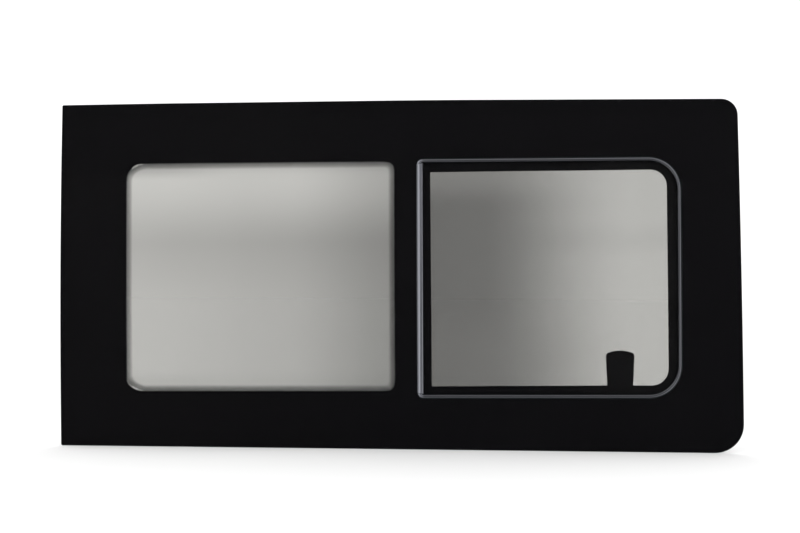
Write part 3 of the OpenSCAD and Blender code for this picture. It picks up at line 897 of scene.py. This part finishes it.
class VANWINDOW_OT_glass(bpy.types.Operator):
    """Round the edges of the two panes and give them their tint and their black print"""

    bl_idname = "vanwindow.glass"
    bl_label = "Glass"

    def execute(self, context):
        values = context.scene.vanwindow_finishes
        edge = ground_edge()
        ink = black_print("black_print", values.print_black, (0.0075, 0.0072, 0.008))
        pane_ink = black_print("pane_print", values.pane_black, (0.0105, 0.0105, 0.012))
        MATERIALS["black_print"] = ink
        clear, grey = clear_glass(values), grey_glass(values)
        glass_pane("outer_glass", clear, edge, "clear_glass", 0.0, GLASS_BACK)
        glass_pane("sliding_glass", grey, edge, "grey_glass", PANE_FRONT, PANE_BACK)
        print_layer("outer_glass_print", ink, GLASS_BACK, PRINT_BACK)
        print_layer("sliding_glass_print", pane_ink, PANE_BACK, PANE_PRINT_BACK)
        return {"FINISHED"}


class VANWINDOW_OT_dots(bpy.types.Operator):
    """Print the dotted band round the clear field"""

    bl_idname = "vanwindow.dots"
    bl_label = "Print Dots"

    def execute(self, context):
        frit_dots(context.scene.vanwindow_shapes, MATERIALS)
        return {"FINISHED"}


class VANWINDOW_OT_trim(bpy.types.Operator):
    """Fit the rounded bead and the ribbed stile round the cut-out"""

    bl_idname = "vanwindow.trim"
    bl_label = "Edge Trim"

    def execute(self, context):
        values = context.scene.vanwindow_finishes
        for name, low, high, coat in (
            ("grey_trim", values.trim, (0.016, 0.0165, 0.0195), 0.35),
            # Painted light: the stile's colours are the black trim's, lightened for the light from
            # the left
            ("stile_trim", values.stile, (0.070, 0.072, 0.083), 1.0),
        ):
            MATERIALS[name] = satin_trim(name, low, high, coat)
        trim_bead(MATERIALS)
        stile_bead(MATERIALS)
        return {"FINISHED"}


class VANWINDOW_OT_frame(bpy.types.Operator):
    """Finish the aluminium frame, its adhesive and its seals"""

    bl_idname = "vanwindow.frame"
    bl_label = "Frame"

    def execute(self, context):
        values = context.scene.vanwindow_finishes
        metal = coated_aluminium(values)
        for node in (
            "top_rail", "bottom_rail", "left_post", "right_post",
            "top_left_bend", "bottom_left_bend", "top_right_bend", "bottom_right_bend",
            "screen_left_bar", "screen_top_bar", "screen_bottom_bar", "screen_right_bar",
            "screen_top_bend", "screen_bottom_bend",
        ):
            softened(node, metal, "black_aluminium", 0.35 * MM)
        soft = rubber(values)
        for node in (
            "mullion_seal", "top_run_seal", "bottom_run_seal", "right_run_seal",
            "open_stop_top", "open_stop_bottom", "screen_spline",
        ):
            softened(node, soft, "seal_rubber", 0.4 * MM)
        softened("frame_bond", adhesive(), "bond", 0.5 * MM)
        return {"FINISHED"}


class VANWINDOW_OT_pane(bpy.types.Operator):
    """Finish what travels with the sliding pane, the latch's keeper and the screen's stops"""

    bl_idname = "vanwindow.pane"
    bl_label = "Sliding Pane"

    def execute(self, context):
        values = context.scene.vanwindow_finishes
        plastic = MATERIALS["black_plastic"] = moulded_plastic(values)
        MATERIALS["dark_steel"] = brushed_steel("dark_steel", (0.10, 0.10, 0.105), values.screw)
        steel = brushed_steel("steel", (0.46, 0.46, 0.47), values.steel)
        white = glide_plastic()
        for node in (
            "latch_base", "latch_housing", "latch_thumb_slide", "screen_stop_top",
            "screen_stop_bottom",
        ):
            softened(node, plastic, "black_plastic", 0.6 * MM, 3)
        softened("pane_edge_profile", coated_aluminium(values), "black_aluminium", 0.4 * MM)
        for node in ("latch_bolt", "latch_keeper"):
            softened(node, steel, "steel", 0.25 * MM)
        for node in ("glide_left", "glide_right", "guide_left", "guide_right"):
            softened(node, white, "glide_plastic", 0.6 * MM)
        return {"FINISHED"}


class VANWINDOW_OT_fastenings(bpy.types.Operator):
    """Add the frame's screws and the ribs of the latch's thumb slide"""

    bl_idname = "vanwindow.fastenings"
    bl_label = "Screws and Grip"

    def execute(self, context):
        cover_screws(MATERIALS)
        grip_ribs(MATERIALS)
        return {"FINISHED"}


class VANWINDOW_OT_screen(bpy.types.Operator):
    """Weave the fly screen"""

    bl_idname = "vanwindow.screen"
    bl_label = "Fly Screen"

    def execute(self, context):
        MATERIALS["mesh"] = coated_thread(context.scene.vanwindow_finishes)
        fly_mesh(context.scene.vanwindow_shapes, MATERIALS)
        return {"FINISHED"}


class VANWINDOW_OT_stage(bpy.types.Operator):
    """Set the pale floor, the studio light and the camera"""

    bl_idname = "vanwindow.stage"
    bl_label = "Stage"

    def execute(self, context):
        scene = context.scene
        values = scene.vanwindow_stage
        pale_floor(scene, values)
        studio_room(scene, values)
        set_camera(scene)
        return {"FINISHED"}


def pale_floor(scene, values):
    """A wide floor just below the window, tilted like its bottom edge."""
    bm = bmesh.new()
    bmesh.ops.create_grid(bm, x_segments=4, y_segments=4, size=40.0)
    slope = Matrix.Rotation(math.radians(FOOT_SLOPE), 4, "Y")
    under = Matrix.Translation((0, 0, -0.3 * MM))
    bmesh.ops.transform(bm, verts=bm.verts, matrix=under @ slope)
    mesh = bpy.data.meshes.new("floor")
    bm.to_mesh(mesh)
    bm.free()
    floor = bpy.data.objects.new("floor", mesh)
    scene.collection.objects.link(floor)
    floor.visible_glossy = False
    f = finish("pale_floor")
    pale = plain(values.floor)
    color = f.blend(f.noise(1.5), pale, [0.999 * part for part in pale])
    mesh.materials.append(f.surface(Base_Color=color, Roughness=1.0, Specular_IOR_Level=0.0))


def studio_room(scene, values):
    """A white room, which the glossy surfaces see as bright sides round a dark front."""
    scene.world = bpy.data.worlds.new("studio")
    f = Finish(scene.world)
    direction = f.signal("ShaderNodeTexCoord", {}, {}, "Generated")
    way = f.node("ShaderNodeSeparateXYZ", {}, {"Vector": direction})
    x, z = (Signal(f, way.outputs[axis]) for axis in "XZ")
    front = 0.05
    right = 2.3 * x.ramp(0.17, 0.6) * (1 - 0.7 * x.ramp(0.72, 0.9))
    left = 3.9 * x.ramp(-0.3, -0.75) * (1 - 0.8 * x.ramp(-0.76, -0.9))
    above, below = 1.9 * z.ramp(0.36, 0.85), 1.2 * z.ramp(-0.36, -0.8)
    path = f.node("ShaderNodeLightPath")
    glossy = Signal(f, path.outputs["Is Glossy Ray"])
    camera = Signal(f, path.outputs["Is Camera Ray"])
    mirrored = front + (right + left + above + below)
    soft = values.room * 1.25 * (1 - 0.5 * abs(x)) * (1 - 0.3 * abs(z))
    lit = (1 - glossy - camera).most(0.0) * soft
    strength = glossy * mirrored + camera * values.backdrop + lit
    color = f.blend(glossy, (1.0, 1.0, 1.0), (0.90, 0.92, 1.0))
    light = f.node("ShaderNodeBackground", {}, {"Color": color, "Strength": strength})
    f.node("ShaderNodeOutputWorld", {}, {"Surface": light.outputs[0]})
    scene.view_settings.view_transform = "Standard"
    scene.view_settings.look = "None"


# The camera where the photographer stood: its turn, tilt and roll in degrees, its focal length in
# millimetres, and its place from the cut-out's lower left corner and the crown of the bend
CAMERA_TURN = (("Z", 3.42145526), ("X", 0.81197141), ("Y", 0.21892633))
CAMERA_LENS = 69.23
CAMERA_PLACE = (0.1465, -3.0, 0.2135)


def set_camera(scene):
    camera = bpy.data.cameras.new("camera")
    camera.lens = CAMERA_LENS
    camera.sensor_width = 36.0
    camera.sensor_fit = "HORIZONTAL"
    camera.clip_start, camera.clip_end = 0.05, 100.0
    holder = bpy.data.objects.new("camera", camera)
    scene.collection.objects.link(holder)
    turned = Matrix.Identity(3)
    for axis, degrees in CAMERA_TURN:
        turned = turned @ Matrix.Rotation(math.radians(degrees), 3, axis)
    right, ahead, up = (turned @ Vector(v) for v in ((1, 0, 0), (0, 1, 0), (0, 0, 1)))
    place = Matrix((right, up, -ahead)).transposed().to_4x4()
    origin = Vector((CUTOUT[0], CROWN_Y, CUTOUT[2]))
    place.translation = origin + Vector(CAMERA_PLACE)
    holder.matrix_world = place
    scene.camera = holder


class VANWINDOW_PT_panel(bpy.types.Panel):
    """Lists the steps that dress the window"""

    bl_idname = "VANWINDOW_PT_panel"
    bl_label = "Van Window"
    bl_space_type = "VIEW_3D"
    bl_region_type = "UI"
    bl_category = "Van Window"

    def draw(self, context):
        for step in STEPS:
            self.layout.operator(step.bl_idname)


# Materials that an earlier step has made for a later one
MATERIALS = {}
STEPS = (
    VANWINDOW_OT_glass, VANWINDOW_OT_dots, VANWINDOW_OT_trim, VANWINDOW_OT_frame, VANWINDOW_OT_pane,
    VANWINDOW_OT_fastenings, VANWINDOW_OT_screen, VANWINDOW_OT_stage,
)
GROUPS = {
    "vanwindow_shapes": VANWINDOW_PG_shapes,
    "vanwindow_finishes": VANWINDOW_PG_finishes,
    "vanwindow_stage": VANWINDOW_PG_stage,
}
CLASSES = (*GROUPS.values(), *STEPS, VANWINDOW_PT_panel)


def register():
    for made in CLASSES:
        bpy.utils.register_class(made)
    for name, group in GROUPS.items():
        setattr(bpy.types.Scene, name, PointerProperty(type=group))


def unregister():
    for name in GROUPS:
        delattr(bpy.types.Scene, name)
    for made in reversed(CLASSES):
        bpy.utils.unregister_class(made)


def main():
    register()
    for step in STEPS:
        getattr(bpy.ops.vanwindow, step.bl_idname.split(".")[1])()


if __name__ == "__main__":
    main()
